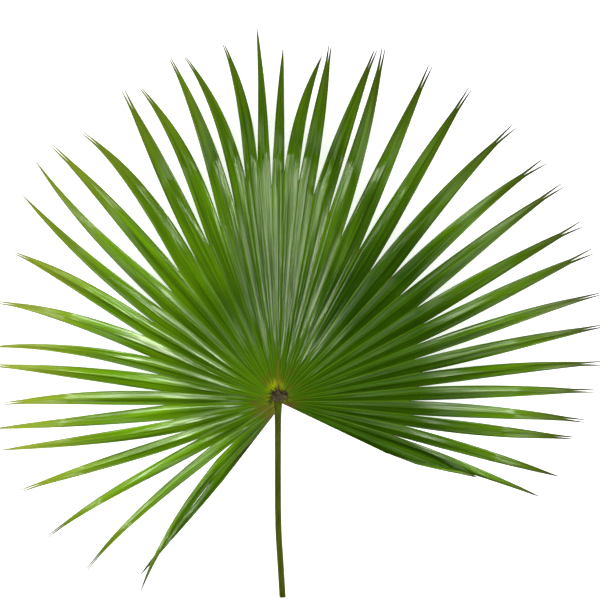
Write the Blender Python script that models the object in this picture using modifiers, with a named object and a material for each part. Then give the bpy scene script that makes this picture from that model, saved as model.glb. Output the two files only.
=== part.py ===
"""Fan palm leaf, cut with its stalk and laid upper side up on a flat surface.

The pleated blade fans out through about 260 degrees from the top of a slender stalk. From its edge it is
split about halfway in, into 43 narrow segments, most of them forked at the tip. Each segment is folded
down along its midrib, and the ridges between the pleats are where the segments part. The joined middle
rises outwards from the stalk, and the free segments arch over and droop until their tips touch the surface.

Metres, +Z up, with the stalk towards -Y. The origin is on the surface, under the middle of the leaf's box.
"""

from collections import namedtuple
import math

import bmesh
import bpy
from mathutils import Vector

MM = 0.001

# Where the stalk meets the blade, from the origin, in millimetres
HUB = (-24.9, -105.4)
HUB_HEIGHT = 24.0

# Blade, in millimetres and degrees
BLADE_THICKNESS = 0.8
CREST_HEIGHT = 46.0  # of the midribs, where the segments bend over
CREST_DISTANCE = 300.0  # from the hub, on the long segments
CREST_SHARE = 0.74  # the most of a segment's reach, on the short ones
DROOP = 1.4  # how late a segment bends down past its crest
FOLD_SLOPE = 27.0  # of each side of a pleat, where the segments part
TIP_FOLD_SLOPE = 10.0
FOLD_START = 10.0  # distance from the hub where the pleats begin
FOLD_FULL = 110.0  # and where they have their whole slope
HUB_RADIUS = 6.0  # of the blade's inner edge
HUB_CENTRE = (0.6, -5.0)
LOW_FOLD_DEG = 208.0  # past this bearing, the folds start further and further down the stalk's side
LOW_FOLD_START = (-2.9, -20.0)  # where the last of them starts
TIP_HEIGHT = 0.42  # of a resting tip's middle layer
TIP_WIDTH = 1.4
TIP_LIFT = 7.0  # the most that a tip stands off the surface
RESTING = (3, 9, 15, 21, 27, 32, 36, 40)  # segments whose tips carry the leaf
ROLL = 9.0  # the most that a free segment turns about its midrib
UNDERLAP = {0: 2.0, 42: 6.0}  # how far the outermost segments dip under their neighbours
UNDERLAP_SHARE = 0.35  # of its free edge, over which it goes down
UNDERLAP_RETURN = 6  # how late it comes back up to its tip

# Rows of points along a segment: shares of its joined part, then of its free part. The last free interval
# holds the notch of a forked tip.
JOINED_SHARES = (0.0, 0.14, 0.34, 0.56, 0.78, 1.0)
FREE_SHARES = (0.1, 0.22, 0.35, 0.48, 0.61, 0.74, 0.87, 1.0)

# The segments, anticlockwise from the right margin. Bearings are in degrees at the hub, with 0 along +X and
# 90 along +Y. gap is the base of the split to the next segment, and reach is the distance out to the tip.
# mid_deg and mid_width are the midrib's bearing and the width halfway out along the free part.
Segment = namedtuple("Segment", "gap_deg gap_mm mid_deg mid_width tip_deg reach fork")
SEGMENTS = tuple(Segment(*row) for row in (
    (-21.9, 231, -22.9, 6.0, -21.75, 266, 0.0),
    (-18.0, 152, -20.2, 8.0, -20.8, 350, 0.0),
    (-12.5, 162, -15.3, 12.0, -15.8, 365, 0.0),
    (-7.4, 165, -8.7, 13.5, -7.9, 375, 2.5),
    (-1.3, 165, -3.9, 13.8, -4.5, 385, 3.4),
    (4.4, 175, 1.6, 13.5, 1.1, 396, 3.5),
    (10.0, 181, 7.0, 13.1, 5.9, 410, 5.0),
    (15.6, 175, 12.8, 14.7, 12.3, 419, 3.0),
    (20.9, 185, 18.5, 14.4, 17.7, 425, 2.5),
    (26.9, 202, 24.8, 15.2, 24.8, 434, 6.8),
    (32.9, 206, 30.1, 14.9, 29.6, 438, 7.6),
    (39.8, 198, 37.1, 15.7, 36.6, 444, 5.4),
    (46.6, 206, 43.2, 15.9, 41.4, 445, 7.8),
    (53.8, 195, 50.3, 16.7, 48.8, 450, 6.3),
    (61.1, 210, 58.1, 17.3, 58.0, 454, 4.0),
    (68.3, 215, 65.1, 17.0, 65.2, 456, 4.8),
    (74.4, 238, 71.9, 16.2, 73.1, 456, 4.0),
    (79.9, 256, 75.7, 16.2, 74.2, 450, 3.1),
    (84.4, 269, 81.6, 15.1, 81.5, 444, 3.1),
    (88.2, 281, 85.1, 13.2, 82.6, 429, 0.0),
    (91.5, 262, 89.5, 9.7, 89.1, 435, 0.0),
    (94.8, 294, 92.9, 9.1, 93.2, 462, 0.0),
    (98.2, 275, 96.8, 13.0, 98.7, 446, 2.0),
    (102.5, 244, 101.7, 13.7, 105.2, 440, 2.0),
    (108.2, 222, 105.7, 15.3, 107.6, 444, 2.0),
    (114.1, 206, 111.1, 17.2, 113.9, 422, 2.0),
    (120.5, 196, 116.8, 17.5, 116.7, 429, 3.7),
    (127.8, 198, 123.6, 17.2, 126.4, 410, 2.5),
    (134.8, 185, 131.0, 16.3, 131.9, 421, 2.9),
    (142.3, 179, 137.9, 12.2, 135.7, 422, 0.0),
    (148.7, 179, 143.8, 12.2, 141.6, 406, 0.0),
    (155.0, 181, 150.5, 15.9, 151.3, 375, 2.0),
    (162.2, 165, 159.0, 13.9, 161.4, 371, 2.5),
    (169.0, 150, 166.9, 10.3, 170.2, 365, 0.0),
    (176.8, 144, 172.9, 13.4, 173.7, 362, 2.5),
    (183.7, 140, 180.2, 14.3, 181.4, 342, 2.5),
    (192.0, 131, 186.8, 11.6, 186.4, 358, 0.0),
    (199.9, 121, 192.6, 11.8, 190.9, 351, 0.0),
    (207.5, 110, 200.8, 12.5, 200.1, 342, 2.5),
    (216.0, 102, 210.1, 10.3, 211.3, 335, 2.0),
    (225.7, 78, 219.8, 9.3, 222.2, 321, 2.0),
    (231.8, 135, 230.8, 7.4, 234.8, 296, 0.0),
    (236.8, 125, 232.9, 6.0, 232.4, 281, 0.0),
))
RIGHT_MARGIN = (-27.0, 150)  # bearing and distance where the margin leaves its straight line

# Stalk, in millimetres. Distances run from the hub down the stalk, and negative ones run on under the blade.
STALK_COURSE = (  # distance, place across
    (-72, 2.0), (-40, 1.2), (-10, 0.4), (14, 0.6), (129, 0.6), (170, 1.4), (205, 3.6), (250.6, 6.4),
)
STALK_SIZES = (  # distance, width, height
    (-72, 1.6, 1.4), (-46, 3.6, 2.8), (-22, 6.4, 4.2), (-6, 9.6, 5.0), (4, 10.4, 5.4), (12, 9.4, 5.8),
    (24, 8.0, 6.2), (55, 7.4, 6.2), (120, 7.3, 6.0), (190, 7.4, 6.0), (250.6, 7.5, 6.2),
)
STALK_STEP = 10.0
STALK_REST = 186.0  # from here to its cut end it lies flat
STALK_FALL = 1.6  # how early it comes down from the hub
STALK_SECTION = (  # half-width and half-height are 1. Its upper side has a shallow channel, its belly a flat
    (-0.5, -1.0), (0.5, -1.0), (0.8, -0.68), (0.98, -0.1), (0.92, 0.5), (0.66, 0.92), (0.3, 0.86),
    (0.0, 0.78), (-0.3, 0.86), (-0.66, 0.92), (-0.92, 0.5), (-0.98, -0.1), (-0.8, -0.68),
)
CLEARANCE = 0.3  # between the blade and what holds it

# Hastula, the small papery flap over the top of the stalk, in millimetres
HASTULA_CENTRE = (2.3, 0.5)
HASTULA_RADII = (9.6, 7.4)
HASTULA_THICKNESS = 1.0
HASTULA_RISE = 1.6
HASTULA_LIFT = 1.1  # over the ridges that start beneath it
HASTULA_SIDES = 26
HASTULA_LOBES = ((3, 0.07, 0.4), (5, 0.11, 0.6), (9, 0.07, 0.0))  # round its rim: how many, how deep, phase
HASTULA_RINGS = ((0.55, 0.75), (1.0, 0.0))  # share of its radii, share of its rise

GREEN = (0.055, 0.15, 0.012, 1.0)
OLIVE = (0.10, 0.13, 0.02, 1.0)
BROWN = (0.13, 0.085, 0.035, 1.0)


def point_at(degrees, distance):
    """The plan point at a bearing and distance from the hub."""
    angle = math.radians(degrees)
    return Vector((distance * math.cos(angle), distance * math.sin(angle)))


def through(start, middle, end, t):
    """The quadratic that passes through three values at t of 0, 0.5 and 1."""
    return start * (1 - t) * (1 - 2 * t) + 4 * middle * t * (1 - t) + end * t * (2 * t - 1)


def fold_start(degrees):
    """Where the fold that runs out at this bearing starts, on the blade's inner edge."""
    past = max(0.0, degrees - LOW_FOLD_DEG) / (SEGMENTS[-1].gap_deg - LOW_FOLD_DEG)
    start = point_at(min(degrees, LOW_FOLD_DEG), HUB_RADIUS) + Vector(HUB_CENTRE)
    return start.lerp(Vector(LOW_FOLD_START), past)


def ridge(index):
    """Bearing and distance where the ridge before segment index ends, or the margins' straight part."""
    return RIGHT_MARGIN if index == 0 else SEGMENTS[index - 1][:2]


def midrib_base(index):
    """Bearing and distance where segment index comes free."""
    (start_deg, start_mm), (end_deg, end_mm) = ridge(index), ridge(index + 1)
    return (start_deg + end_deg) / 2, (start_mm + end_mm) / 2


def midrib_bearing(index, distance):
    """The bearing of a midrib: straight in the joined part, then a curve through its middle to its tip."""
    segment = SEGMENTS[index]
    base_deg, base_mm = midrib_base(index)
    if distance <= base_mm:
        start = fold_start(base_deg)
        share = max(0.0, (distance - start.length) / (base_mm - start.length))
        place = start.lerp(point_at(base_deg, base_mm), share)
        return math.degrees(math.atan2(place.y, place.x)) % 360 - (360 if base_deg < 0 else 0)
    t = (distance - base_mm) / (segment.reach - base_mm)
    return through(base_deg, segment.mid_deg, segment.tip_deg, t)


def half_width(index, side, distance):
    """From a free segment's midrib to its edge. side is 0 for the clockwise edge and 1 for the other."""
    segment = SEGMENTS[index]
    gap_deg, gap_mm = ridge(index + side)
    t = (distance - gap_mm) / (segment.reach - gap_mm)
    base = abs(math.radians(gap_deg - midrib_bearing(index, gap_mm))) * gap_mm
    return through(base, segment.mid_width / 2, 0.0, t) + TIP_WIDTH / 2 * t


def fold_slope(distance, free):
    """Rise over run of a pleat's sides. They start flat at the hub and open out again towards the tip."""
    opened = min(1.0, max(0.0, (distance - FOLD_START) / (FOLD_FULL - FOLD_START)))
    degrees = FOLD_SLOPE * math.sin(opened * math.pi / 2)
    return math.tan(math.radians(degrees + (TIP_FOLD_SLOPE - degrees) * free))


def arch(distance, reach, tip):
    """Height of a midrib: up from the hub to its crest, then over and down to the tip."""
    crest = min(CREST_DISTANCE, CREST_SHARE * reach)
    if distance < crest:
        rise = max(0.0, (distance - FOLD_START) / (crest - FOLD_START))
        return HUB_HEIGHT + (CREST_HEIGHT - HUB_HEIGHT) * math.sin(rise * math.pi / 2)
    return CREST_HEIGHT - (CREST_HEIGHT - tip) * ((distance - crest) / (reach - crest)) ** DROOP


def arch_reach(index):
    """The reach that sets a segment's arch. The first one lies in its neighbour's, which it is joined to."""
    return SEGMENTS[max(index, 1)].reach


def tip_height(index):
    """Height of a tip: most stand a little off the surface, each by its own amount."""
    index = max(index, 1)
    if index in RESTING:
        return TIP_HEIGHT
    return TIP_HEIGHT + TIP_LIFT * (0.5 + 0.5 * math.sin(2.4 * index + 0.7))


def free_share(index, distance):
    """How far out along its free part a point of a segment is, from 0 to 1."""
    base_mm = midrib_base(index)[1]
    return min(1.0, max(0.0, (distance - base_mm) / (SEGMENTS[index].reach - base_mm)))


def underlap(index, distance):
    """How far an outermost segment dips to pass under its neighbour."""
    gap_mm = max(ridge(index)[1], ridge(index + 1)[1])
    out = min(1.0, max(0.0, (distance - gap_mm) / (SEGMENTS[index].reach - gap_mm) / UNDERLAP_SHARE))
    back = 1.0 - free_share(index, distance) ** UNDERLAP_RETURN
    return UNDERLAP.get(index, 0.0) * out * back


def midrib_point(index, distance):
    place = point_at(midrib_bearing(index, distance), distance)
    height = arch(distance, arch_reach(index), tip_height(index))
    return Vector((place.x, place.y, height - underlap(index, distance)))


def ridge_point(index, share):
    """A point on the ridge before segment index, at a share of its joined length."""
    gap_deg, gap_mm = ridge(index)
    place = fold_start(gap_deg).lerp(point_at(gap_deg, gap_mm), share)
    beside = [n for n in (index - 1, index) if 0 <= n < len(SEGMENTS)]
    reach = sum(arch_reach(n) for n in beside) / len(beside)
    tip = sum(tip_height(n) for n in beside) / len(beside)
    spread = sum(abs(gap_deg - midrib_base(n)[0]) for n in beside) / len(beside)
    run = math.radians(spread) * place.length
    rise = run * fold_slope(place.length, 0.0)
    return Vector((place.x, place.y, arch(place.length, reach, tip) + rise))


def free_edge_point(index, side, distance, offset=None):
    """A point on a free segment's edge, or at another offset from its midrib."""
    share = free_share(index, distance)
    run = half_width(index, side, distance) if offset is None else offset
    sign = 1 if side else -1
    place = point_at(midrib_bearing(index, distance) + sign * math.degrees(run / distance), distance)
    roll = math.radians(ROLL * math.sin(1.7 * index + 0.5)) * math.sin(share * math.pi)
    rise = run * (fold_slope(distance, share) + sign * math.tan(roll))
    height = arch(distance, arch_reach(index), tip_height(index))
    return Vector((place.x, place.y, height + rise - underlap(index, distance)))


def add_strip(mesh, first, second):
    """Joins two lines of points with triangles. second is anticlockwise of first."""
    for a, b, c, d in zip(first, first[1:], second[1:], second):
        mesh.faces.new((a, b, c))
        mesh.faces.new((a, c, d))


def add_segment(mesh, index, ridges):
    """One pleat and its free segment: clockwise half, midrib and anticlockwise half."""
    segment = SEGMENTS[index]
    base_deg, base_mm = midrib_base(index)
    start = fold_start(base_deg)
    midrib = []
    for share in JOINED_SHARES:
        distance = start.lerp(point_at(base_deg, base_mm), share).length
        place = midrib_point(index, distance)
        if share == 0:
            place = Vector((start.x, start.y, place.z))
        midrib.append(mesh.verts.new(place * MM))
    for share in FREE_SHARES[:-1]:
        distance = base_mm + (segment.reach - base_mm) * share
        midrib.append(mesh.verts.new(midrib_point(index, distance) * MM))
    edges = []
    for side in (0, 1):
        gap_mm = ridge(index + side)[1]
        edge = list(ridges[index + side])
        for share in FREE_SHARES[:-1]:
            distance = gap_mm + (segment.reach - gap_mm) * share
            edge.append(mesh.verts.new(free_edge_point(index, side, distance) * MM))
        edges.append(edge)
    add_strip(mesh, edges[0], midrib)
    add_strip(mesh, midrib, edges[1])
    add_tip(mesh, index, edges[0][-1], midrib[-1], edges[1][-1])


def add_tip(mesh, index, first, notch, second):
    """The end of a segment, forked where fork is over 0."""
    segment = SEGMENTS[index]
    half = TIP_WIDTH / 2
    if segment.fork == 0:
        low, high = (free_edge_point(index, side, segment.reach, half) for side in (0, 1))
        low, middle, high = (mesh.verts.new(p * MM) for p in (low, midrib_point(index, segment.reach), high))
        add_strip(mesh, (first, low), (notch, middle))
        add_strip(mesh, (notch, middle), (second, high))
        return
    for side, edge in ((0, first), (1, second)):
        offsets = (segment.fork / 2 - half / 2, segment.fork / 2 + half)
        inner, outer = (free_edge_point(index, side, segment.reach, offset) for offset in offsets)
        inner, outer = mesh.verts.new(inner * MM), mesh.verts.new(outer * MM)
        pair = ((edge, outer), (notch, inner))
        add_strip(mesh, *(pair if side == 0 else pair[::-1]))


def make_object(mesh, name, material, collection, hub):
    """Turns a bmesh into a named object under the hub."""
    data = bpy.data.meshes.new(name)
    mesh.to_mesh(data)
    mesh.free()
    made = bpy.data.objects.new(name, data)
    made.data.materials.append(material)
    made.parent = hub
    collection.objects.link(made)
    return made


def add_thickness(made, millimetres):
    """A shell of even thickness, half on each side of the surface."""
    shell = made.modifiers.new("thickness", "SOLIDIFY")
    shell.thickness = millimetres * MM
    shell.offset = 0.0
    shell.use_even_offset = True


def make_blade(material, collection, hub):
    mesh = bmesh.new()
    ridges = []
    for index in range(len(SEGMENTS) + 1):
        ridges.append([mesh.verts.new(ridge_point(index, share) * MM) for share in JOINED_SHARES])
    for index in range(len(SEGMENTS)):
        add_segment(mesh, index, ridges)
    blade = make_object(mesh, "blade", material, collection, hub)
    add_thickness(blade, BLADE_THICKNESS)


def between(rows, distance, column):
    """A column of a table that is sorted by its first column, read at any distance."""
    for low, high in zip(rows, rows[1:]):
        if distance <= high[0]:
            share = (distance - low[0]) / (high[0] - low[0])
            eased = share * share * (3 - 2 * share)
            return low[column] + (high[column] - low[column]) * eased
    return rows[-1][column]


def stalk_top(distance):
    """Height of the stalk's upper side: under the blade, then down from the hub until it lies flat."""
    start = HUB_HEIGHT - BLADE_THICKNESS / 2 - CLEARANCE
    if distance < 0:
        middle = SEGMENTS[len(SEGMENTS) // 2]
        return arch(-distance, middle.reach, TIP_HEIGHT) - HUB_HEIGHT + start
    lying = STALK_SIZES[-1][2]
    left = 1 - min(1.0, max(0.0, (distance - FOLD_START) / (STALK_REST - FOLD_START)))
    return lying + (start - lying) * left ** STALK_FALL


def stalk_ring(distance):
    """One cross-section of the stalk."""
    across = between(STALK_COURSE, distance, 1)
    width = between(STALK_SIZES, distance, 1)
    height = between(STALK_SIZES, distance, 2)
    top = stalk_top(distance)
    middle = top - height / 2 if distance < STALK_REST else height / 2
    return [Vector((across + x * width / 2, -distance, middle + z * height / 2)) for x, z in STALK_SECTION]


def make_petiole(material, collection, hub):
    """The stalk: a loft of cross-sections that widens under the blade and runs on beneath it as its rib."""
    mesh = bmesh.new()
    start, end = STALK_SIZES[0][0], STALK_SIZES[-1][0]
    count = round((end - start) / STALK_STEP)
    rings = []
    for step in range(count + 1):
        ring = stalk_ring(start + (end - start) * step / count)
        rings.append([mesh.verts.new(place * MM) for place in ring])
    for first, second in zip(rings, rings[1:]):
        for n in range(len(first)):
            m = (n + 1) % len(first)
            mesh.faces.new((first[n], second[n], second[m], first[m]))
    mesh.faces.new(rings[0])
    mesh.faces.new(rings[-1][::-1])
    bmesh.ops.recalc_face_normals(mesh, faces=mesh.faces)
    petiole = make_object(mesh, "petiole", material, collection, hub)
    petiole.data.shade_smooth()


def make_hastula(material, collection, hub):
    """A ragged, domed flap that lies over the ends of the folds."""
    mesh = bmesh.new()
    under = HUB_HEIGHT + BLADE_THICKNESS / 2 + CLEARANCE + HASTULA_THICKNESS / 2 + HASTULA_LIFT
    centre = Vector((*HASTULA_CENTRE, under))
    crown = mesh.verts.new((centre + Vector((0, 0, HASTULA_RISE))) * MM)
    rings = []
    for size, rise in HASTULA_RINGS:
        ring = []
        for n in range(HASTULA_SIDES):
            angle = 2 * math.pi * n / HASTULA_SIDES
            lobes = sum(deep * math.sin(count * angle + phase) for count, deep, phase in HASTULA_LOBES)
            ragged = 1 + size * lobes
            x, y = (radius * size * ragged for radius in HASTULA_RADII)
            offset = Vector((x * math.cos(angle), y * math.sin(angle), HASTULA_RISE * rise))
            ring.append(mesh.verts.new((centre + offset) * MM))
        rings.append(ring)
    inner, outer = rings
    for n in range(HASTULA_SIDES):
        m = (n + 1) % HASTULA_SIDES
        mesh.faces.new((crown, inner[n], inner[m]))
        mesh.faces.new((inner[n], outer[n], outer[m]))
        mesh.faces.new((inner[n], outer[m], inner[m]))
    hastula = make_object(mesh, "hastula", material, collection, hub)
    add_thickness(hastula, HASTULA_THICKNESS)


def make_material(name, color, roughness):
    material = bpy.data.materials.new(name)
    material.use_nodes = True
    shader = material.node_tree.nodes["Principled BSDF"]
    shader.inputs["Base Color"].default_value = color
    shader.inputs["Roughness"].default_value = roughness
    shader.inputs["Metallic"].default_value = 0.0
    material.diffuse_color = color
    return material


def main():
    for old in list(bpy.data.objects):
        bpy.data.objects.remove(old, do_unlink=True)
    collection = bpy.data.collections.new("fan_palm_leaf")
    bpy.context.scene.collection.children.link(collection)
    hub = bpy.data.objects.new("hub", None)
    hub.location = (HUB[0] * MM, HUB[1] * MM, 0.0)
    collection.objects.link(hub)
    make_blade(make_material("leaf_green", GREEN, 0.4), collection, hub)
    make_petiole(make_material("stalk_olive", OLIVE, 0.5), collection, hub)
    make_hastula(make_material("hastula_brown", BROWN, 0.8), collection, hub)
    bpy.context.view_layer.update()


main()
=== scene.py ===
"""The looks of the fan palm leaf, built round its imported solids.

The blade is remade as a thin, finely pleated sheet on the same folds, midribs and arch as the solid, with
veins, a pale midrib and drying tips. The stalk and the hastula are remade in the same way.
"""

from collections import namedtuple
import math
import random

import bmesh
import bpy
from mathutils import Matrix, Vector, noise


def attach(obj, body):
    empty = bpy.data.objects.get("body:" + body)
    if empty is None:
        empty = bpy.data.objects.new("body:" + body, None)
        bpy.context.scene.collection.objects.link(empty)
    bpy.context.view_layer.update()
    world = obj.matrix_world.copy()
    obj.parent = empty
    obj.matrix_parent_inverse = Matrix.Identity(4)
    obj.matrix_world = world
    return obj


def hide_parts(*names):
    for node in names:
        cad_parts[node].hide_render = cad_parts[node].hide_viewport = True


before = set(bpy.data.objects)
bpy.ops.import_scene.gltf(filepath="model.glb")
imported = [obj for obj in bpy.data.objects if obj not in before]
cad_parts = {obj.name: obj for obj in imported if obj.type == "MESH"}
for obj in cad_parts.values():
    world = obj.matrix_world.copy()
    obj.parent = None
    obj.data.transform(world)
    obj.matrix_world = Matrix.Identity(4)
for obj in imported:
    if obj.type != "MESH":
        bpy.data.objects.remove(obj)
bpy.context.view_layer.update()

MM = 0.001

# Camera: straight above the middle of the photograph, which is this far from the hub, in millimetres
PHOTO_MIDDLE = (28.1, 121.2)
PHOTO_WIDTH = 750.0
CAMERA_HEIGHT = 6.0
SENSOR = 36.0

# Studio: each softbox by its bearing and elevation from the leaf, its distance, its size and its radiance
SOFTBOXES = (
    ("key_softbox", -84.0, 38.0, 2.6, (2.0, 0.45), 11.0),
    ("right_softbox", -2.0, 38.0, 2.6, (0.9, 0.6), 5.5),
    ("left_softbox", 178.0, 38.0, 2.6, (0.8, 0.6), 5.5),
    ("right_fill", -59.0, 42.0, 2.6, (1.0, 0.5), 4.0),
    ("left_fill", 243.0, 38.0, 2.6, (1.0, 0.45), 12.0),
    ("key_strip", -84.0, 51.0, 2.6, (2.0, 0.14), 9.0),
    ("right_strip", -42.0, 51.0, 2.6, (1.0, 0.16), 8.0),
    ("left_strip", 218.0, 54.0, 2.6, (1.2, 0.16), 12.0),
    ("right_top_strip", -5.0, 50.0, 2.6, (1.2, 0.14), 12.0),
    ("left_top_strip", 181.0, 50.0, 2.6, (1.1, 0.14), 14.0),
    ("back_softbox", 90.0, 66.0, 3.0, (2.6, 1.0), 1.5),
)
SOFTBOX_TARGET = (0.0, 0.0, 0.03)
SKY_STRENGTH = 0.06
HORIZON_STRENGTH = 0.95
HORIZON_FADE = (0.04, 0.22)  # the room darkens between these heights over the horizon, in sines
WHITE = (1.0, 1.0, 1.0, 1.0)
FLOOR_SIZE = 8.0
FLOOR_DROP = 0.0005
FLOOR_COLOR = (0.92, 0.92, 0.92, 1.0)
FLOOR_GLOW = 0.7

# The leaf's own numbers, as in its solids, in millimetres and degrees
HUB = (-24.9, -105.4)
HUB_HEIGHT = 24.0
BLADE_THICKNESS = 0.8
CREST_HEIGHT = 46.0  # of the midribs, where the segments bend over
CREST_DISTANCE = 300.0  # from the hub, on the long segments
CREST_SHARE = 0.74  # the most of a segment's reach, on the short ones
DROOP = 1.4  # how late a segment bends down past its crest
FOLD_SLOPE = 27.0  # of each side of a pleat, where the segments part
TIP_FOLD_SLOPE = 10.0
FOLD_START = 10.0  # distance from the hub where the pleats begin
FOLD_FULL = 110.0  # and where they have their whole slope
HUB_RADIUS = 6.0  # of the blade's inner edge
HUB_CENTRE = (0.6, -5.0)
LOW_FOLD_DEG = 208.0  # past this bearing, the folds start further and further down the stalk's side
LOW_FOLD_START = (-2.9, -20.0)  # where the last of them starts
TIP_HEIGHT = 0.42  # of a resting tip's middle layer
TIP_WIDTH = 1.4
TIP_LIFT = 7.0  # the most that a tip stands off the surface
RESTING = (3, 9, 15, 21, 27, 32, 36, 40)  # segments whose tips carry the leaf
ROLL = 9.0  # the most that a free segment turns about its midrib
UNDERLAP = {0: 2.0, 42: 6.0}  # how far the outermost segments dip under their neighbours
UNDERLAP_SHARE = 0.35  # of its free edge, over which it goes down
UNDERLAP_RETURN = 6  # how late it comes back up to its tip
NOTCH_SHARE = 0.87  # of the free part, where a forked tip parts

# The segments, anticlockwise from the right margin. Bearings are in degrees at the hub, with 0 along +X and
# 90 along +Y. gap is the base of the split to the next segment, and reach is the distance out to the tip.
# mid_deg and mid_width are the midrib's bearing and the width halfway out along the free part.
Segment = namedtuple("Segment", "gap_deg gap_mm mid_deg mid_width tip_deg reach fork")
SEGMENTS = tuple(Segment(*row) for row in (
    (-21.9, 231, -22.9, 6.0, -21.75, 266, 0.0),
    (-18.0, 152, -20.2, 8.0, -20.8, 350, 0.0),
    (-12.5, 162, -15.3, 12.0, -15.8, 365, 0.0),
    (-7.4, 165, -8.7, 13.5, -7.9, 375, 2.5),
    (-1.3, 165, -3.9, 13.8, -4.5, 385, 3.4),
    (4.4, 175, 1.6, 13.5, 1.1, 396, 3.5),
    (10.0, 181, 7.0, 13.1, 5.9, 410, 5.0),
    (15.6, 175, 12.8, 14.7, 12.3, 419, 3.0),
    (20.9, 185, 18.5, 14.4, 17.7, 425, 2.5),
    (26.9, 202, 24.8, 15.2, 24.8, 434, 6.8),
    (32.9, 206, 30.1, 14.9, 29.6, 438, 7.6),
    (39.8, 198, 37.1, 15.7, 36.6, 444, 5.4),
    (46.6, 206, 43.2, 15.9, 41.4, 445, 7.8),
    (53.8, 195, 50.3, 16.7, 48.8, 450, 6.3),
    (61.1, 210, 58.1, 17.3, 58.0, 454, 4.0),
    (68.3, 215, 65.1, 17.0, 65.2, 456, 4.8),
    (74.4, 238, 71.9, 16.2, 73.1, 456, 4.0),
    (79.9, 256, 75.7, 16.2, 74.2, 450, 3.1),
    (84.4, 269, 81.6, 15.1, 81.5, 444, 3.1),
    (88.2, 281, 85.1, 13.2, 82.6, 429, 0.0),
    (91.5, 262, 89.5, 9.7, 89.1, 435, 0.0),
    (94.8, 294, 92.9, 9.1, 93.2, 462, 0.0),
    (98.2, 275, 96.8, 13.0, 98.7, 446, 2.0),
    (102.5, 244, 101.7, 13.7, 105.2, 440, 2.0),
    (108.2, 222, 105.7, 15.3, 107.6, 444, 2.0),
    (114.1, 206, 111.1, 17.2, 113.9, 422, 2.0),
    (120.5, 196, 116.8, 17.5, 116.7, 429, 3.7),
    (127.8, 198, 123.6, 17.2, 126.4, 410, 2.5),
    (134.8, 185, 131.0, 16.3, 131.9, 421, 2.9),
    (142.3, 179, 137.9, 12.2, 135.7, 422, 0.0),
    (148.7, 179, 143.8, 12.2, 141.6, 406, 0.0),
    (155.0, 181, 150.5, 15.9, 151.3, 375, 2.0),
    (162.2, 165, 159.0, 13.9, 161.4, 371, 2.5),
    (169.0, 150, 166.9, 10.3, 170.2, 365, 0.0),
    (176.8, 144, 172.9, 13.4, 173.7, 362, 2.5),
    (183.7, 140, 180.2, 14.3, 181.4, 342, 2.5),
    (192.0, 131, 186.8, 11.6, 186.4, 358, 0.0),
    (199.9, 121, 192.6, 11.8, 190.9, 351, 0.0),
    (207.5, 110, 200.8, 12.5, 200.1, 342, 2.5),
    (216.0, 102, 210.1, 10.3, 211.3, 335, 2.0),
    (225.7, 78, 219.8, 9.3, 222.2, 321, 2.0),
    (231.8, 135, 230.8, 7.4, 234.8, 296, 0.0),
    (236.8, 125, 232.9, 6.0, 232.4, 281, 0.0),
))
RIGHT_MARGIN = (-27.0, 150)  # bearing and distance where the blade's straight right margin ends

# The fine sheet, in millimetres and degrees
SHEET_THICKNESS = 0.5
COLUMNS = (0.0, 0.07, 0.2, 0.45, 0.72, 0.93, 1.0)  # shares of the way from a midrib to its edge
JOINED_ROWS = 26
JOINED_START = -0.008  # the folds start a little further in than the solid's, over the stalk
FREE_ROWS = 32
TIP_ROWS = 8
BLADE_SHARP_DEG = 60.0
MIDRIB_RELIEF = 0.35
MIDRIB_GROWTH = 4  # how soon the relief is full: a quarter of the joined part out
SIDE_BULGE = 0.10  # of a pleat's rise
FOLD_VARIATION = 0.35  # in how soon each fold rises from the hub
RIPPLE = 0.5  # along a free segment's edges
RIPPLE_TURN = 0.11  # radians a row
BEND_DISTANCE = 298.0  # where the long segments bend over and their folds open
BEND_SHARE = 0.85  # the most of a segment's reach, on the short ones
BEND_SPREAD = 6.0  # in where each one bends
BEND_LENGTH = 24.0
BEND_OPENING = 0.45  # of the fold's slope
FINE_TIP_WIDTH = 0.7
TIP_SPLAY = 1.15  # how much the inner edges of a fork curve apart

# The stalk. Its course has distance down from the hub and offset to the right. Its sizes have distance,
# width and height, and its section is in half widths and half heights, from the belly round to the groove.
STALK_COURSE = (
    (-72, 2.0), (-40, 1.2), (-10, 0.4), (14, 0.6), (129, 0.6), (170, 1.4), (205, 3.6), (250.6, 6.4),
)
STALK_SIZES = (
    (-72, 1.6, 1.4), (-46, 3.6, 2.8), (-22, 6.4, 4.2), (-6, 9.6, 5.0), (4, 10.4, 5.4), (12, 9.4, 5.8),
    (24, 8.0, 6.2), (55, 7.4, 6.2), (120, 7.3, 6.0), (190, 7.4, 6.0), (250.6, 7.5, 6.2),
)
STALK_REST = 186.0  # where it comes to lie on the surface
STALK_FALL = 1.6
STALK_SECTION = (
    (-0.5, -1.0), (0.5, -1.0), (0.8, -0.68), (0.98, -0.1), (0.92, 0.5), (0.66, 0.92), (0.3, 0.86),
    (0.0, 0.78), (-0.3, 0.86), (-0.66, 0.92), (-0.92, 0.5), (-0.98, -0.1), (-0.8, -0.68),
)
CLEARANCE = 0.3  # between the blade and what touches it
FINE_STALK_STEP = 3.0
SMOOTHING_LEVELS = 2
SMOOTHING_GROWTH = 1.12  # makes up for what the smoothing takes off the sides
CUT_CREASE = 0.8
PITH_INSET = 0.5
PITH_DEPTH = -0.15
STALK_SHARP_DEG = 50.0

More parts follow.
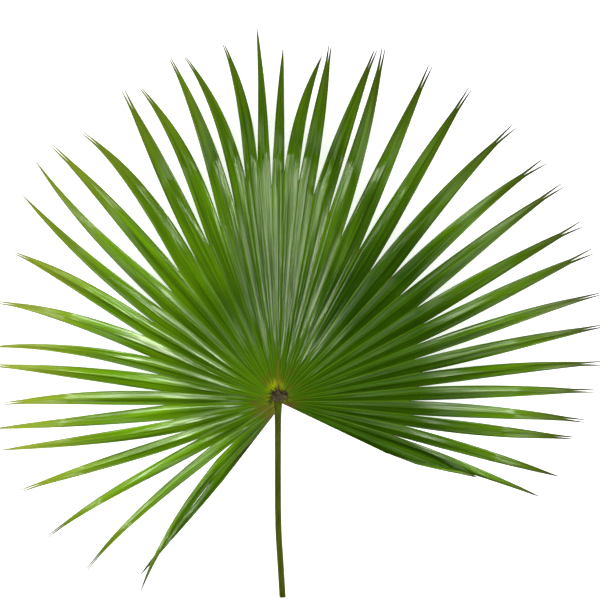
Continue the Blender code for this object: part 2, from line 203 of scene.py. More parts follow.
# The hastula. A lobe is its count round the flap, its depth and its phase.
HASTULA_CENTRE = (2.3, 0.5)
HASTULA_RADII = (9.6, 7.4)
HASTULA_SHARE = 0.9  # of those radii, as the loose fibres reach on past the flap
HASTULA_SIDES = 96
HASTULA_RINGS = 12
HASTULA_THICKNESS = 0.4
HASTULA_RISE = 1.6
HASTULA_LIFT = 1.1
HASTULA_DIP = 0.4  # the most that the flap hangs under its base
HASTULA_LOBES = ((3, 0.07, 0.4), (5, 0.11, 0.6), (9, 0.07, 0.0))
TORN_EDGE = (0.20, 0.75)  # what is torn off everywhere, and what more by chance, as shares of the radius
TORN_SCALE = 4
TORN_SEED = 2.7  # where its noise is read
CRUMPLE_HEIGHT = 1.1
CRUMPLE_SCALE = 0.45
CRUMPLE_SEED = (3.1, 0.4, 7.7)
PLEAT_HEIGHT = 0.22
PLEAT_COUNT = 17
FIBRE_SEED = 7
FIBRE_COUNT = 62
FIBRE_SEGMENT = 20  # whose arch they follow
FIBRE_FROM = -28.0  # bearings round the hastula that have fibres
FIBRE_TO = 222.0
FIBRE_STEPS = 6
FIBRE_CLEARANCE = 0.75
FIBRE_TAPER = 0.85
FIBRE_END = (9.0, 16.0)
LONG_FIBRE_EVERY = 6
LONG_FIBRE_EXTRA = 5.0
FIBRE_LIMITS = ((2.0, 6.0), (0.6, 1.5), (1.5, 2.8), (-14, 14))  # of start, width, lift and bend


def through(start, middle, end, t):
    """The quadratic that passes through three values at t of 0, 0.5 and 1."""
    return start * (1 - t) * (1 - 2 * t) + 4 * middle * t * (1 - t) + end * t * (2 * t - 1)


def point_at(degrees, distance):
    """The plan point at a bearing and distance from the hub."""
    angle = math.radians(degrees)
    return Vector((distance * math.cos(angle), distance * math.sin(angle)))


def fold_start(degrees):
    """Where the fold that runs out at this bearing starts, on the blade's inner edge."""
    past = max(0.0, degrees - LOW_FOLD_DEG) / (SEGMENTS[-1].gap_deg - LOW_FOLD_DEG)
    start = point_at(min(degrees, LOW_FOLD_DEG), HUB_RADIUS) + Vector(HUB_CENTRE)
    return start.lerp(Vector(LOW_FOLD_START), past)


def ridge(index):
    """Bearing and distance where the ridge before segment index ends, or the margin's straight part."""
    return RIGHT_MARGIN if index == 0 else SEGMENTS[index - 1][:2]


def midrib_base(index):
    """Bearing and distance where segment index comes free."""
    (start_deg, start_mm), (end_deg, end_mm) = ridge(index), ridge(index + 1)
    return (start_deg + end_deg) / 2, (start_mm + end_mm) / 2


def midrib_bearing(index, distance):
    """The bearing of a midrib: straight in the joined part, then a curve through its middle to its tip."""
    segment = SEGMENTS[index]
    base_deg, base_mm = midrib_base(index)
    if distance <= base_mm:
        start = fold_start(base_deg)
        share = max(0.0, (distance - start.length) / (base_mm - start.length))
        place = start.lerp(point_at(base_deg, base_mm), share)
        return math.degrees(math.atan2(place.y, place.x)) % 360 - (360 if base_deg < 0 else 0)
    t = (distance - base_mm) / (segment.reach - base_mm)
    return through(base_deg, segment.mid_deg, segment.tip_deg, t)


def half_width(index, side, distance):
    """From a free segment's midrib to its edge. side is 0 for the clockwise edge and 1 for the other."""
    segment = SEGMENTS[index]
    gap_deg, gap_mm = ridge(index + side)
    t = (distance - gap_mm) / (segment.reach - gap_mm)
    base = abs(math.radians(gap_deg - midrib_bearing(index, gap_mm))) * gap_mm
    return through(base, segment.mid_width / 2, 0.0, t) + TIP_WIDTH / 2 * t


def fold_slope(distance, free):
    """Rise over run of a pleat's sides. They start flat at the hub and open out again towards the tip."""
    opened = min(1.0, max(0.0, (distance - FOLD_START) / (FOLD_FULL - FOLD_START)))
    degrees = FOLD_SLOPE * math.sin(opened * math.pi / 2)
    return math.tan(math.radians(degrees + (TIP_FOLD_SLOPE - degrees) * free))


def arch(distance, reach, tip):
    """Height of a midrib: up from the hub to its crest, then over and down to the tip."""
    crest = min(CREST_DISTANCE, CREST_SHARE * reach)
    if distance < crest:
        rise = max(0.0, (distance - FOLD_START) / (crest - FOLD_START))
        return HUB_HEIGHT + (CREST_HEIGHT - HUB_HEIGHT) * math.sin(rise * math.pi / 2)
    return CREST_HEIGHT - (CREST_HEIGHT - tip) * ((distance - crest) / (reach - crest)) ** DROOP


def arch_reach(index):
    """The reach that sets a segment's arch. The first one lies in its neighbour's, which it is joined to."""
    return SEGMENTS[max(index, 1)].reach


def tip_height(index):
    """Height of a tip: most stand a little off the surface, each by its own amount."""
    index = max(index, 1)
    if index in RESTING:
        return TIP_HEIGHT
    return TIP_HEIGHT + TIP_LIFT * (0.5 + 0.5 * math.sin(2.4 * index + 0.7))


def free_share(index, distance):
    """How far out along its free part a point of a segment is, from 0 to 1."""
    base_mm = midrib_base(index)[1]
    return min(1.0, max(0.0, (distance - base_mm) / (SEGMENTS[index].reach - base_mm)))


def underlap(index, distance):
    """How far an outermost segment dips to pass under its neighbour."""
    gap_mm = max(ridge(index)[1], ridge(index + 1)[1])
    out = min(1.0, max(0.0, (distance - gap_mm) / (SEGMENTS[index].reach - gap_mm) / UNDERLAP_SHARE))
    back = 1.0 - free_share(index, distance) ** UNDERLAP_RETURN
    return UNDERLAP.get(index, 0.0) * out * back


def midrib_point(index, distance):
    """A point on a midrib, in its free part."""
    place = point_at(midrib_bearing(index, distance), distance)
    height = arch(distance, arch_reach(index), tip_height(index))
    return Vector((place.x, place.y, height - underlap(index, distance)))


def ridge_point(index, share):
    """A point on the ridge before segment index, at a share of its joined length."""
    gap_deg, gap_mm = ridge(index)
    place = fold_start(gap_deg).lerp(point_at(gap_deg, gap_mm), share)
    beside = [n for n in (index - 1, index) if 0 <= n < len(SEGMENTS)]
    reach = sum(arch_reach(n) for n in beside) / len(beside)
    tip = sum(tip_height(n) for n in beside) / len(beside)
    spread = sum(abs(gap_deg - midrib_base(n)[0]) for n in beside) / len(beside)
    opening = place.length * (1 + FOLD_VARIATION * math.sin(2.7 * index))
    rise = math.radians(spread) * place.length * fold_slope(opening, 0.0)
    return Vector((place.x, place.y, arch(place.length, reach, tip) + rise))


def fold_opening(index, distance):
    """A free segment's fold opens out a little, quite suddenly, where the segment bends over."""
    bend = min(BEND_DISTANCE, BEND_SHARE * SEGMENTS[index].reach) + BEND_SPREAD * math.sin(3.1 * index)
    past = min(1.0, max(0.0, (distance - bend) / BEND_LENGTH))
    return 1 - BEND_OPENING * past * past * (3 - 2 * past)


def free_edge_point(index, side, distance, run):
    """A point off a free segment's midrib, by run millimetres towards one side."""
    free = free_share(index, distance)
    sign = 1 if side else -1
    place = point_at(midrib_bearing(index, distance) + sign * math.degrees(run / distance), distance)
    roll = math.radians(ROLL * math.sin(1.7 * index + 0.5)) * math.sin(free * math.pi)
    rise = run * (fold_slope(distance, free) * fold_opening(index, distance) + sign * math.tan(roll))
    height = arch(distance, arch_reach(index), tip_height(index))
    return Vector((place.x, place.y, height + rise - underlap(index, distance)))


def joined_share(row):
    """How far along its joined part a row lies."""
    return JOINED_START + (1 - JOINED_START) * row / JOINED_ROWS


def free_shares():
    """Rows along a free part: even ones up to the notch, then closer ones to the tip."""
    even = [NOTCH_SHARE * (n + 1) / FREE_ROWS for n in range(FREE_ROWS)]
    return even + [NOTCH_SHARE + (1 - NOTCH_SHARE) * (n + 1) / TIP_ROWS for n in range(TIP_ROWS)]


def midrib_line(index):
    """The midrib's points, from the hub to the tip."""
    base_deg, base_mm = midrib_base(index)
    start = fold_start(base_deg)
    line = []
    for row in range(JOINED_ROWS + 1):
        place = start.lerp(point_at(base_deg, base_mm), joined_share(row))
        line.append(Vector((place.x, place.y, arch(place.length, arch_reach(index), tip_height(index)))))
    for share in free_shares():
        line.append(midrib_point(index, base_mm + (SEGMENTS[index].reach - base_mm) * share))
    return line


def edge_line(index, side):
    """A segment's edge, from the hub to the tip."""
    line = [ridge_point(index + side, joined_share(row)) for row in range(JOINED_ROWS + 1)]
    gap_mm = ridge(index + side)[1]
    reach = SEGMENTS[index].reach
    for share in free_shares():
        distance = gap_mm + (reach - gap_mm) * share
        run = half_width(index, side, distance)
        past_notch = max(0.0, (share - NOTCH_SHARE) / (1 - NOTCH_SHARE))
        notch_run = half_width(index, side, gap_mm + (reach - gap_mm) * NOTCH_SHARE)
        forked = notch_run + (SEGMENTS[index].fork / 2 + FINE_TIP_WIDTH / 2 - notch_run) * past_notch
        run = forked if past_notch else run
        line.append(free_edge_point(index, side, distance, run))
    return line


def inner_line(index, side, midrib):
    """The inner edges of a forked tip, beyond the notch."""
    segment = SEGMENTS[index]
    gap_mm = ridge(index + side)[1]
    line = []
    for row in range(1, TIP_ROWS + 1):
        t = row / TIP_ROWS
        distance = gap_mm + (segment.reach - gap_mm) * (NOTCH_SHARE + (1 - NOTCH_SHARE) * t)
        run = max(0.0, segment.fork / 2 - FINE_TIP_WIDTH / 2) * t ** TIP_SPLAY
        place = free_edge_point(index, side, distance, run)
        line.append(place if segment.fork else midrib[len(midrib) - TIP_ROWS + row - 1])
    return line


LAYERS = ("fold", "along", "free", "bearing")


class Sheet:
    """The blade's upper and lower faces as one grid of points, with what its material reads."""

    def __init__(self):
        self.mesh = bmesh.new()
        self.layers = {name: self.mesh.verts.layers.float.new(name) for name in LAYERS}

    def vert(self, place, fold, free):
        """A new point, with its fold number, its distance and bearing from the hub and its free value."""
        made = self.mesh.verts.new(place * MM)
        made[self.layers["fold"]] = fold
        made[self.layers["along"]] = math.hypot(place.x, place.y) * MM
        made[self.layers["free"]] = free
        bearing = math.degrees(math.atan2(place.y, place.x))
        made[self.layers["bearing"]] = bearing + 360 if bearing < -60 else bearing
        return made

    def fill(self, first, second):
        """Joins two columns of points. second is anticlockwise of first."""
        for a, b, c, d in zip(first, first[1:], second[1:], second):
            self.mesh.faces.new((a, b, c, d))


def free_value(row):
    """What the free layer holds at a row: under 0 in the joined part, and 1 at the tip."""
    if row <= JOINED_ROWS:
        return row / JOINED_ROWS - 1
    return free_shares()[row - JOINED_ROWS - 1]


def bulge_at(index, side, row):
    """How far a pleat's side bulges: it differs from side to side, and along each, as on a grown leaf."""
    by_side = 0.8 * math.sin(2.3 * index + 1.1 * side)
    by_row = 0.6 * math.sin(0.23 * row + 2.9 * index)
    return SIDE_BULGE * (1 + by_side + by_row)


def ripple_at(index, side, row, column):
    """How far a free segment's side waves up or down, a share of the way from its midrib to its edge."""
    wave = math.sin(RIPPLE_TURN * row * (1 + 0.2 * math.sin(index)) + 1.9 * index + side)
    return RIPPLE * wave * column * math.sin(math.pi * free_value(row))


def fill_half(sheet, index, side, inner, outer, inner_verts, outer_verts):
    """Fills one half of a segment, from its midrib to its edge."""
    sign = 1 if side else -1
    columns = [inner_verts]
    for column in COLUMNS[1:-1]:
        line = []
        for row, (low, high) in enumerate(zip(inner, outer)):
            place = low.lerp(high, column)
            place.z += bulge_at(index, side, row) * (high.z - low.z) * math.sin(math.pi * column)
            if row > JOINED_ROWS:
                place.z += ripple_at(index, side, row, column)
            line.append(sheet.vert(place, 2 * index + 1 + sign * column, free_value(row)))
        columns.append(line)
    columns.append(outer_verts)
    for first, second in zip(columns, columns[1:]):
        sheet.fill(*((first, second) if side else (second, first)))


def column_verts(sheet, line, fold, first_row=0):
    """The points of a line that starts at a row, as one column of the sheet."""
    return [sheet.vert(place, fold, free_value(first_row + n)) for n, place in enumerate(line)]


def build_sheet():
    """The blade's middle layer: a column of points for each ridge and midrib, and the halves between them."""
    sheet = Sheet()
    notch_row = JOINED_ROWS + FREE_ROWS + 1
    last_row = JOINED_ROWS + FREE_ROWS + TIP_ROWS
    ridges = []
    for index in range(len(SEGMENTS) + 1):
        line = [ridge_point(index, joined_share(row)) for row in range(JOINED_ROWS + 1)]
        ridges.append(column_verts(sheet, line, 2 * index))
    for index, segment in enumerate(SEGMENTS):
        fold = 2 * index + 1
        midrib = midrib_line(index)
        for row, place in enumerate(midrib):
            place.z += MIDRIB_RELIEF * min(1.0, row / JOINED_ROWS * MIDRIB_GROWTH)
        shown = column_verts(sheet, midrib[:-TIP_ROWS], fold)
        whole_tip = [] if segment.fork else column_verts(sheet, midrib[-TIP_ROWS:], fold, notch_row)
        for side in (0, 1):
            inner_end = inner_line(index, side, midrib)
            inner_verts = shown + (whole_tip or column_verts(sheet, inner_end, fold, notch_row))
            outer = edge_line(index, side)
            outer_verts = list(ridges[index + side])
            for row in range(JOINED_ROWS + 1, last_row + 1):
                outer[row].z += ripple_at(index, side, row, 1.0)
                outer_verts.append(sheet.vert(outer[row], 2 * (index + side), free_value(row)))
            fill_half(sheet, index, side, midrib[:-TIP_ROWS] + inner_end, outer, inner_verts, outer_verts)
    return sheet.mesh


def make_object(mesh, name, materials):
    """Turns a bmesh, in metres from the hub, into a named piece in its place."""
    bmesh.ops.translate(mesh, verts=mesh.verts, vec=(HUB[0] * MM, HUB[1] * MM, 0.0))
    data = bpy.data.meshes.new(name)
    mesh.to_mesh(data)
    mesh.free()
    made = bpy.data.objects.new(name, data)
    for material in materials:
        data.materials.append(material)
    bpy.context.scene.collection.objects.link(made)
    return made


def apply_modifiers(made):
    """Makes the evaluated mesh the object's own."""
    view = bpy.context.evaluated_depsgraph_get()
    data = bpy.data.meshes.new_from_object(made.evaluated_get(view))
    old = made.data
    made.modifiers.clear()
    made.data = data
    bpy.data.meshes.remove(old)


def make_blade(materials):
    """The pleated sheet, with its upper side in the first material and its underside in the second."""
    blade = make_object(build_sheet(), "leaf_blade", materials)
    shell = blade.modifiers.new("thickness", "SOLIDIFY")
    shell.thickness = SHEET_THICKNESS * MM
    shell.offset = 0.0
    shell.use_even_offset = True
    shell.material_offset = 1
    apply_modifiers(blade)
    blade.data.shade_smooth()
    blade.data.set_sharp_from_angle(angle=math.radians(BLADE_SHARP_DEG))
    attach(blade, "root")
    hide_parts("blade")
    return blade


def between(rows, distance, column):
    """A column of a table that is sorted by its first column, read at any distance as a smooth curve."""
    last = len(rows) - 1
    n = next((n for n in range(last) if distance <= rows[n + 1][0]), last - 1)
    low, high = rows[n], rows[n + 1]
    length = high[0] - low[0]
    slopes = []
    for m in (n, n + 1):
        before, after = rows[max(m - 1, 0)], rows[min(m + 1, last)]
        slopes.append((after[column] - before[column]) / (after[0] - before[0]) * length)
    t = (distance - low[0]) / length
    eased = t * t * (3 - 2 * t)
    curve = slopes[0] * t * (1 - t) ** 2 - slopes[1] * t * t * (1 - t)
    return low[column] + (high[column] - low[column]) * eased + curve


def stalk_top(distance):
    """Height of the stalk's upper side: under the blade, then down from the hub until it lies flat."""
    start = HUB_HEIGHT - BLADE_THICKNESS / 2 - CLEARANCE
    if distance < 0:
        middle = SEGMENTS[len(SEGMENTS) // 2]
        return arch(-distance, middle.reach, TIP_HEIGHT) - HUB_HEIGHT + start
    lying = STALK_SIZES[-1][2]
    left = 1 - min(1.0, max(0.0, (distance - FOLD_START) / (STALK_REST - FOLD_START)))
    return lying + (start - lying) * left ** STALK_FALL


def stalk_ring(distance):
    """One cross-section of the stalk."""
    across = between(STALK_COURSE, distance, 1)
    width = between(STALK_SIZES, distance, 1)
    height = between(STALK_SIZES, distance, 2)
    top = stalk_top(distance)
    middle = top - height / 2 if distance < STALK_REST else height / 2
    width *= SMOOTHING_GROWTH
    return [Vector((across + x * width / 2, -distance, middle + z * height / 2)) for x, z in STALK_SECTION]


def make_stalk(materials):
    """A smoothed loft of cross-sections, with pale pith on its cut end."""
    mesh = bmesh.new()
    start, end = STALK_SIZES[0][0], STALK_SIZES[-1][0]
    count = round((end - start) / FINE_STALK_STEP)
    rings = []
    for step in range(count + 1):
        ring = stalk_ring(start + (end - start) * step / count)
        rings.append([mesh.verts.new(place * MM) for place in ring])
    for first, second in zip(rings, rings[1:]):
        for n in range(len(first)):
            m = (n + 1) % len(first)
            mesh.faces.new((first[n], second[n], second[m], first[m]))
    mesh.faces.new(rings[0])
    cut = mesh.faces.new(rings[-1][::-1])
    inset = bmesh.ops.inset_individual(mesh, faces=[cut], thickness=PITH_INSET * MM, depth=PITH_DEPTH * MM)
    for face in [cut] + inset["faces"]:
        face.material_index = 1
    bmesh.ops.recalc_face_normals(mesh, faces=mesh.faces)
    crease = mesh.edges.layers.float.new("crease_edge")
    for edge in cut.edges:
        edge[crease] = CUT_CREASE
    for edge in mesh.edges:
        if all(v in rings[-1] for v in edge.verts):
            edge[crease] = CUT_CREASE
    stalk = make_object(mesh, "leaf_stalk", materials)
    smooth = stalk.modifiers.new("smooth", "SUBSURF")
    smooth.levels = SMOOTHING_LEVELS
    smooth.render_levels = SMOOTHING_LEVELS
    apply_modifiers(stalk)
    stalk.data.shade_smooth()
    stalk.data.set_sharp_from_angle(angle=math.radians(STALK_SHARP_DEG))
    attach(stalk, "root")
    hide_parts("petiole")
    return stalk


def fibre(mesh, bearing, start, end, width, lift, bend):
    """One flat dark fibre that lies over the ends of the folds, pointed at its outer end."""
    left, right = [], []
    for n in range(FIBRE_STEPS + 1):
        t = n / FIBRE_STEPS
        distance = start + (end - start) * t
        middle = point_at(bearing + bend * t * t, distance) + Vector(HASTULA_CENTRE)
        across = point_at(bearing + 90, width * (1 - FIBRE_TAPER * t) / 2)
        blade = arch(distance, SEGMENTS[FIBRE_SEGMENT].reach, TIP_HEIGHT)
        height = blade + lift * (1 - t) ** 2 + FIBRE_CLEARANCE
        for line, place in ((left, middle - across), (right, middle + across)):
            line.append(mesh.verts.new(Vector((place.x, place.y, height)) * MM))
    for a, b, c, d in zip(right, left, left[1:], right[1:]):
        mesh.faces.new((a, b, c, d))


def flap_point(size, angle, base):
    """A point of the flap, size of the way out to its ragged edge."""
    lobes = sum(deep * math.sin(count * angle + phase) for count, deep, phase in HASTULA_LOBES)
    torn = noise.noise(Vector((TORN_SCALE * math.cos(angle), TORN_SCALE * math.sin(angle), TORN_SEED)))
    ragged = 1 + size * lobes - size ** 3 * (TORN_EDGE[0] + TORN_EDGE[1] * torn)
    x, y = (HASTULA_SHARE * radius * size * ragged for radius in HASTULA_RADII)
    place = Vector((x * math.cos(angle), y * math.sin(angle), 0.0))
    crumple = noise.noise(place * CRUMPLE_SCALE + Vector(CRUMPLE_SEED))
    pleat = math.sin(PLEAT_COUNT * angle + 0.8 * math.sin(3 * angle))
    uneven = (CRUMPLE_HEIGHT * crumple + PLEAT_HEIGHT * pleat) * size
    place.z = max(base + HASTULA_RISE * (1 - size ** 2) + uneven, base - HASTULA_DIP)
    return place + Vector((*HASTULA_CENTRE, 0.0))


def make_hastula(materials):
    """The ragged brown flap, crumpled over the ends of the folds, with its loose fibres."""
    mesh = bmesh.new()
    base = HUB_HEIGHT + BLADE_THICKNESS / 2 + CLEARANCE + HASTULA_LIFT
    crown = mesh.verts.new(Vector((*HASTULA_CENTRE, base + HASTULA_RISE)) * MM)
    loops = []
    for ring in range(1, HASTULA_RINGS + 1):
        angles = [2 * math.pi * n / HASTULA_SIDES for n in range(HASTULA_SIDES)]
        loops.append([mesh.verts.new(flap_point(ring / HASTULA_RINGS, angle, base) * MM) for angle in angles])
    for n in range(HASTULA_SIDES):
        m = (n + 1) % HASTULA_SIDES
        mesh.faces.new((crown, loops[0][n], loops[0][m]))
        for inner, outer in zip(loops, loops[1:]):
            mesh.faces.new((inner[n], outer[n], outer[m], inner[m]))
    draw = random.Random(FIBRE_SEED)
    for n in range(FIBRE_COUNT):
        bearing = FIBRE_FROM + (FIBRE_TO - FIBRE_FROM) * (n + draw.random()) / FIBRE_COUNT
        end = draw.uniform(*FIBRE_END) + (0.0 if n % LONG_FIBRE_EVERY else LONG_FIBRE_EXTRA)
        start, width, lift, bend = (draw.uniform(*limits) for limits in FIBRE_LIMITS)
        fibre(mesh, bearing, start, end, width, lift, bend)
    hastula = make_object(mesh, "leaf_hastula", materials)
    shell = hastula.modifiers.new("thickness", "SOLIDIFY")
    shell.thickness = HASTULA_THICKNESS * MM
    shell.offset = 0.0
    apply_modifiers(hastula)
    hastula.data.shade_smooth()
    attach(hastula, "root")
    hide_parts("hastula")
    return hastula


class Nodes:
    """Short names for the nodes of one material."""

    def __init__(self, name):
        self.material = bpy.data.materials.new(name)
        self.material.use_nodes = True
        self.tree = self.material.node_tree
        self.shader = self.tree.nodes["Principled BSDF"]

    def feed(self, socket, value):
        if isinstance(value, bpy.types.NodeSocket):
            self.tree.links.new(value, socket)
        else:
            socket.default_value = value

    def set(self, name, value):
        """Feeds one of the shader's own inputs."""
        self.feed(self.shader.inputs[name], value)

    def attribute(self, name):
        node = self.tree.nodes.new("ShaderNodeAttribute")
        node.attribute_name = name
        return node.outputs["Fac"]

    def math(self, operation, first, second=0.0, third=0.0):
        node = self.tree.nodes.new("ShaderNodeMath")
        node.operation = operation
        for socket, value in zip(node.inputs, (first, second, third)):
            self.feed(socket, value)
        return node.outputs[0]

    def plus(self, first, second):
        return self.math("ADD", first, second)

    def times(self, first, second):
        return self.math("MULTIPLY", first, second)

    def rest(self, value):
        """What is left to 1."""
        return self.math("SUBTRACT", 1.0, value)

    def ramp(self, value, start, end, low=0.0, high=1.0):
        """low below start and high past end, with a smooth step between."""
        node = self.tree.nodes.new("ShaderNodeMapRange")
        node.interpolation_type = "SMOOTHSTEP"
        names = ("Value", "From Min", "From Max", "To Min", "To Max")
        for name, given in zip(names, (value, start, end, low, high)):
            self.feed(node.inputs[name], given)
        return node.outputs["Result"]

    def vector(self, x, y, z=0.0):
        node = self.tree.nodes.new("ShaderNodeCombineXYZ")
        for socket, value in zip(node.inputs, (x, y, z)):
            self.feed(socket, value)
        return node.outputs[0]

    def object_place(self):
        return self.tree.nodes.new("ShaderNodeTexCoord").outputs["Object"]

    def distance(self, place, centre):
        node = self.tree.nodes.new("ShaderNodeVectorMath")
        node.operation = "DISTANCE"
        self.feed(node.inputs[0], place)
        self.feed(node.inputs[1], centre)
        return node.outputs["Value"]

    def noise(self, place, scale, detail=2.0, roughness=0.5):
        node = self.tree.nodes.new("ShaderNodeTexNoise")
        names = ("Vector", "Scale", "Detail", "Roughness")
        for name, given in zip(names, (place, scale, detail, roughness)):
            self.feed(node.inputs[name], given)
        return node.outputs["Fac"]

    def mix(self, factor, first, second):
        """The first colour where factor is 0, and the second where it is 1."""
        node = self.tree.nodes.new("ShaderNodeMix")
        node.data_type = "RGBA"
        for number, value in ((0, factor), (6, first), (7, second)):
            self.feed(node.inputs[number], value)
        return node.outputs[2]

    def bump(self, height, distance):
        node = self.tree.nodes.new("ShaderNodeBump")
        for name, given in (("Height", height), ("Distance", distance), ("Strength", 1.0)):
            self.feed(node.inputs[name], given)
        return node.outputs["Normal"]


def srgb(code):
    """A linear colour from a six-digit code."""
    levels = [int(code[n:n + 2], 16) / 255 for n in (0, 2, 4)]
    return tuple(c / 12.92 if c <= 0.04045 else ((c + 0.055) / 1.055) ** 2.4 for c in levels) + (1.0,)


DEEP = srgb("1c3f01")
# BRIGHT is also laid over the left side of the blade as painted light.
BRIGHT = srgb("659405")
DARK_STREAK = srgb("142901")
PALE_VEIN = srgb("628a16")
DRY_TIP = srgb("8b8d3c")
DARK_TIP = srgb("33261c")
# Partly the yellow of ageing tips, and partly painted light through the blade on the left.
YELLOW_TIP = srgb("a4b23a")
DULL_TIP = srgb("3f4812")
HEART = srgb("8c9d06")
RIB = srgb("6c5e14")
RUST = srgb("5c4a14")
PAPER_BROWN = srgb("54431f")
OLIVE_BASE = srgb("5d5a12")
DARK_EDGE = srgb("222e0c")
DARK_MARGIN = srgb("34361a")
LOWER = srgb("55782f")
LOWER_VEIN = srgb("93ad66")
STALK_DARK = srgb("303902")
STALK_OLIVE = srgb("434c06")
STALK_PALE = srgb("525f10")
PITH = srgb("b5a873")
PITH_SPOT = srgb("6b5a2a")
FLAP_BROWN = srgb("30260c")
FLAP_TAN = srgb("54441f")
FLAP_DARK = srgb("221a0b")

# A line's width is a share of a pleat's side times metres from the hub, so it is under half a millimetre
# wherever it runs. The two values are where the line starts to fade and where it ends.
VEIN_WIDTH = (0.004, 0.013)
CREST_WIDTH = (0.005, 0.016)
VEIN_COUNT = 11  # half waves of relief across each side of a pleat
LEAF_RELIEF = 0.0002
STALK_RELIEF = 0.00015
PITH_RELIEF = 0.0002
FLAP_RELIEF = 0.0004

# The skin: its least roughness and reflection, and what is added to them
SHEEN = (0.9, 1.0, 0.72, 1.0)  # the waxy skin's reflections are a little green
LEAF_ROUGHNESS = (0.08, 0.16)
DULL_ROUGHNESS = 0.08
LOWER_ROUGHNESS = 0.2
DULL_LEVEL = 0.05
SHINE_LEVEL = 0.40
LOWER_SHARE = 0.7
STALK_ROUGHNESS = (0.26, 0.36)
STALK_LEVEL = 0.1
PAPER_ROUGHNESS = 0.8

# Where the leaf's marks lie, in metres and degrees from the hub. A fold number is twice a segment's index at
# its clockwise ridge and one more at its midrib, so a ridge or midrib is a whole number.
HEART_CENTRE = (-0.002, 0.013)
RIB_FOLD = 41.0
RIB_LENGTH = 0.064
LAST_FOLD = 2.0 * len(SEGMENTS)
LOW_LEFT = (190.0, 218.0)
DULL_BEARINGS = (36.0, 64.0)  # the lower right side has less shine
MATT_FROM = (96.0, 110.0)  # and so has the joined part to the left of the middle
MATT_TO = (136.0, 152.0)

# What the sheet holds at a point, and the noises that its colours and gloss share. free is under 0 in the
# joined part and 1 at a tip, and across is 0 on a midrib and 1 on a ridge or an edge.
Reads = namedtuple("Reads", "fold along free bearing across cloud streak fine low_left")


def fold_noise(n, fold, along, scales, seed, detail):
    """Noise drawn out along the folds, by its scales across and along them."""
    place = n.vector(n.times(fold, scales[0]), n.times(along, scales[1]), seed)
    return n.noise(place, 1.0, detail)


def read_sheet(n):
    """The reads of one material."""
    fold, along, free, bearing = (n.attribute(name) for name in LAYERS)
    across = n.rest(n.math("PINGPONG", fold, 1.0))
    cloud = n.noise(n.object_place(), 9.0, 3.0)
    streak = fold_noise(n, fold, along, (3.2, 9.0), 0.3, 2.0)
    fine = fold_noise(n, fold, along, (17.0, 22.0), 0.8, 1.0)
    return Reads(fold, along, free, bearing, across, cloud, streak, fine, n.ramp(bearing, *LOW_LEFT))


def green_with_painted_left_light(n, r):
    """Deep green round the hub, brighter out along the segments, and brighter still to the left as painted
    light falling on and through that side, with darker streaks.
    """
    # Painted light: the blade is made brighter towards the left, as if lit from that side and through the
    # leaf.
    left = n.ramp(n.plus(r.bearing, n.times(r.cloud, 60.0)), 60.0, 195.0)
    outer = n.ramp(r.free, -0.4, 0.1, 0.36, 1.0)
    brighter = n.math("MAXIMUM", n.times(left, outer), n.ramp(r.free, 0.05, 0.5, 0.0, 0.55))
    green = n.mix(brighter, DEEP, BRIGHT)
    green = n.mix(n.ramp(r.cloud, 0.35, 0.75, 0.0, 0.2), green, BRIGHT)
    green = n.mix(n.ramp(r.streak, 0.35, 0.7, 0.0, 0.55), green, DARK_STREAK)
    return n.mix(n.ramp(r.fine, 0.45, 0.8, 0.0, 0.14), green, PALE_VEIN)


def age_and_painted_glow(n, r, green):
    """Yellows the outer segments, mostly to the left, where the yellow is partly ageing and partly painted
    light shining through the blade, and dulls them to the right and at the lower left.
    """
    out = n.plus(r.free, n.times(r.cloud, 0.25))
    # Partly painted light: the yellow leans to the left, as a glow of light through the blade on that side.
    yellow = n.times(n.ramp(out, 0.4, 1.15, 0.0, 0.85), n.ramp(r.bearing, 85.0, 165.0, 0.12, 1.0))
    yellow = n.times(yellow, n.rest(n.times(r.low_left, 0.6)))
    green = n.mix(yellow, green, YELLOW_TIP)
    dull = n.ramp(n.plus(r.free, n.times(r.streak, 0.2)), 0.62, 1.08)
    sides = n.math("MAXIMUM", n.ramp(r.bearing, 55.0, 110.0, 0.9, 0.1), n.times(r.low_left, 0.8))
    return n.mix(n.times(dull, sides), green, DULL_TIP)


def draw_lines(n, r, midrib, green):
    """Pale midribs, pale ridges in the joined part and dark edges in the free part."""
    green = n.mix(n.times(midrib, n.ramp(r.free, 0.0, 0.3, 0.15, 0.35)), green, PALE_VEIN)
    joined = n.ramp(r.free, -0.02, 0.02, 1.0, 0.0)
    crest = n.times(n.ramp(n.times(n.rest(r.across), r.along), *CREST_WIDTH, 1.0, 0.0), joined)
    crest = n.times(crest, n.ramp(r.streak, 0.3, 0.65, 0.5, 1.0))
    green = n.mix(n.times(crest, 0.5), green, PALE_VEIN)
    edge = n.times(n.ramp(r.across, 0.94, 0.99), n.rest(joined))
    return n.mix(n.times(edge, 0.5), green, DARK_EDGE)


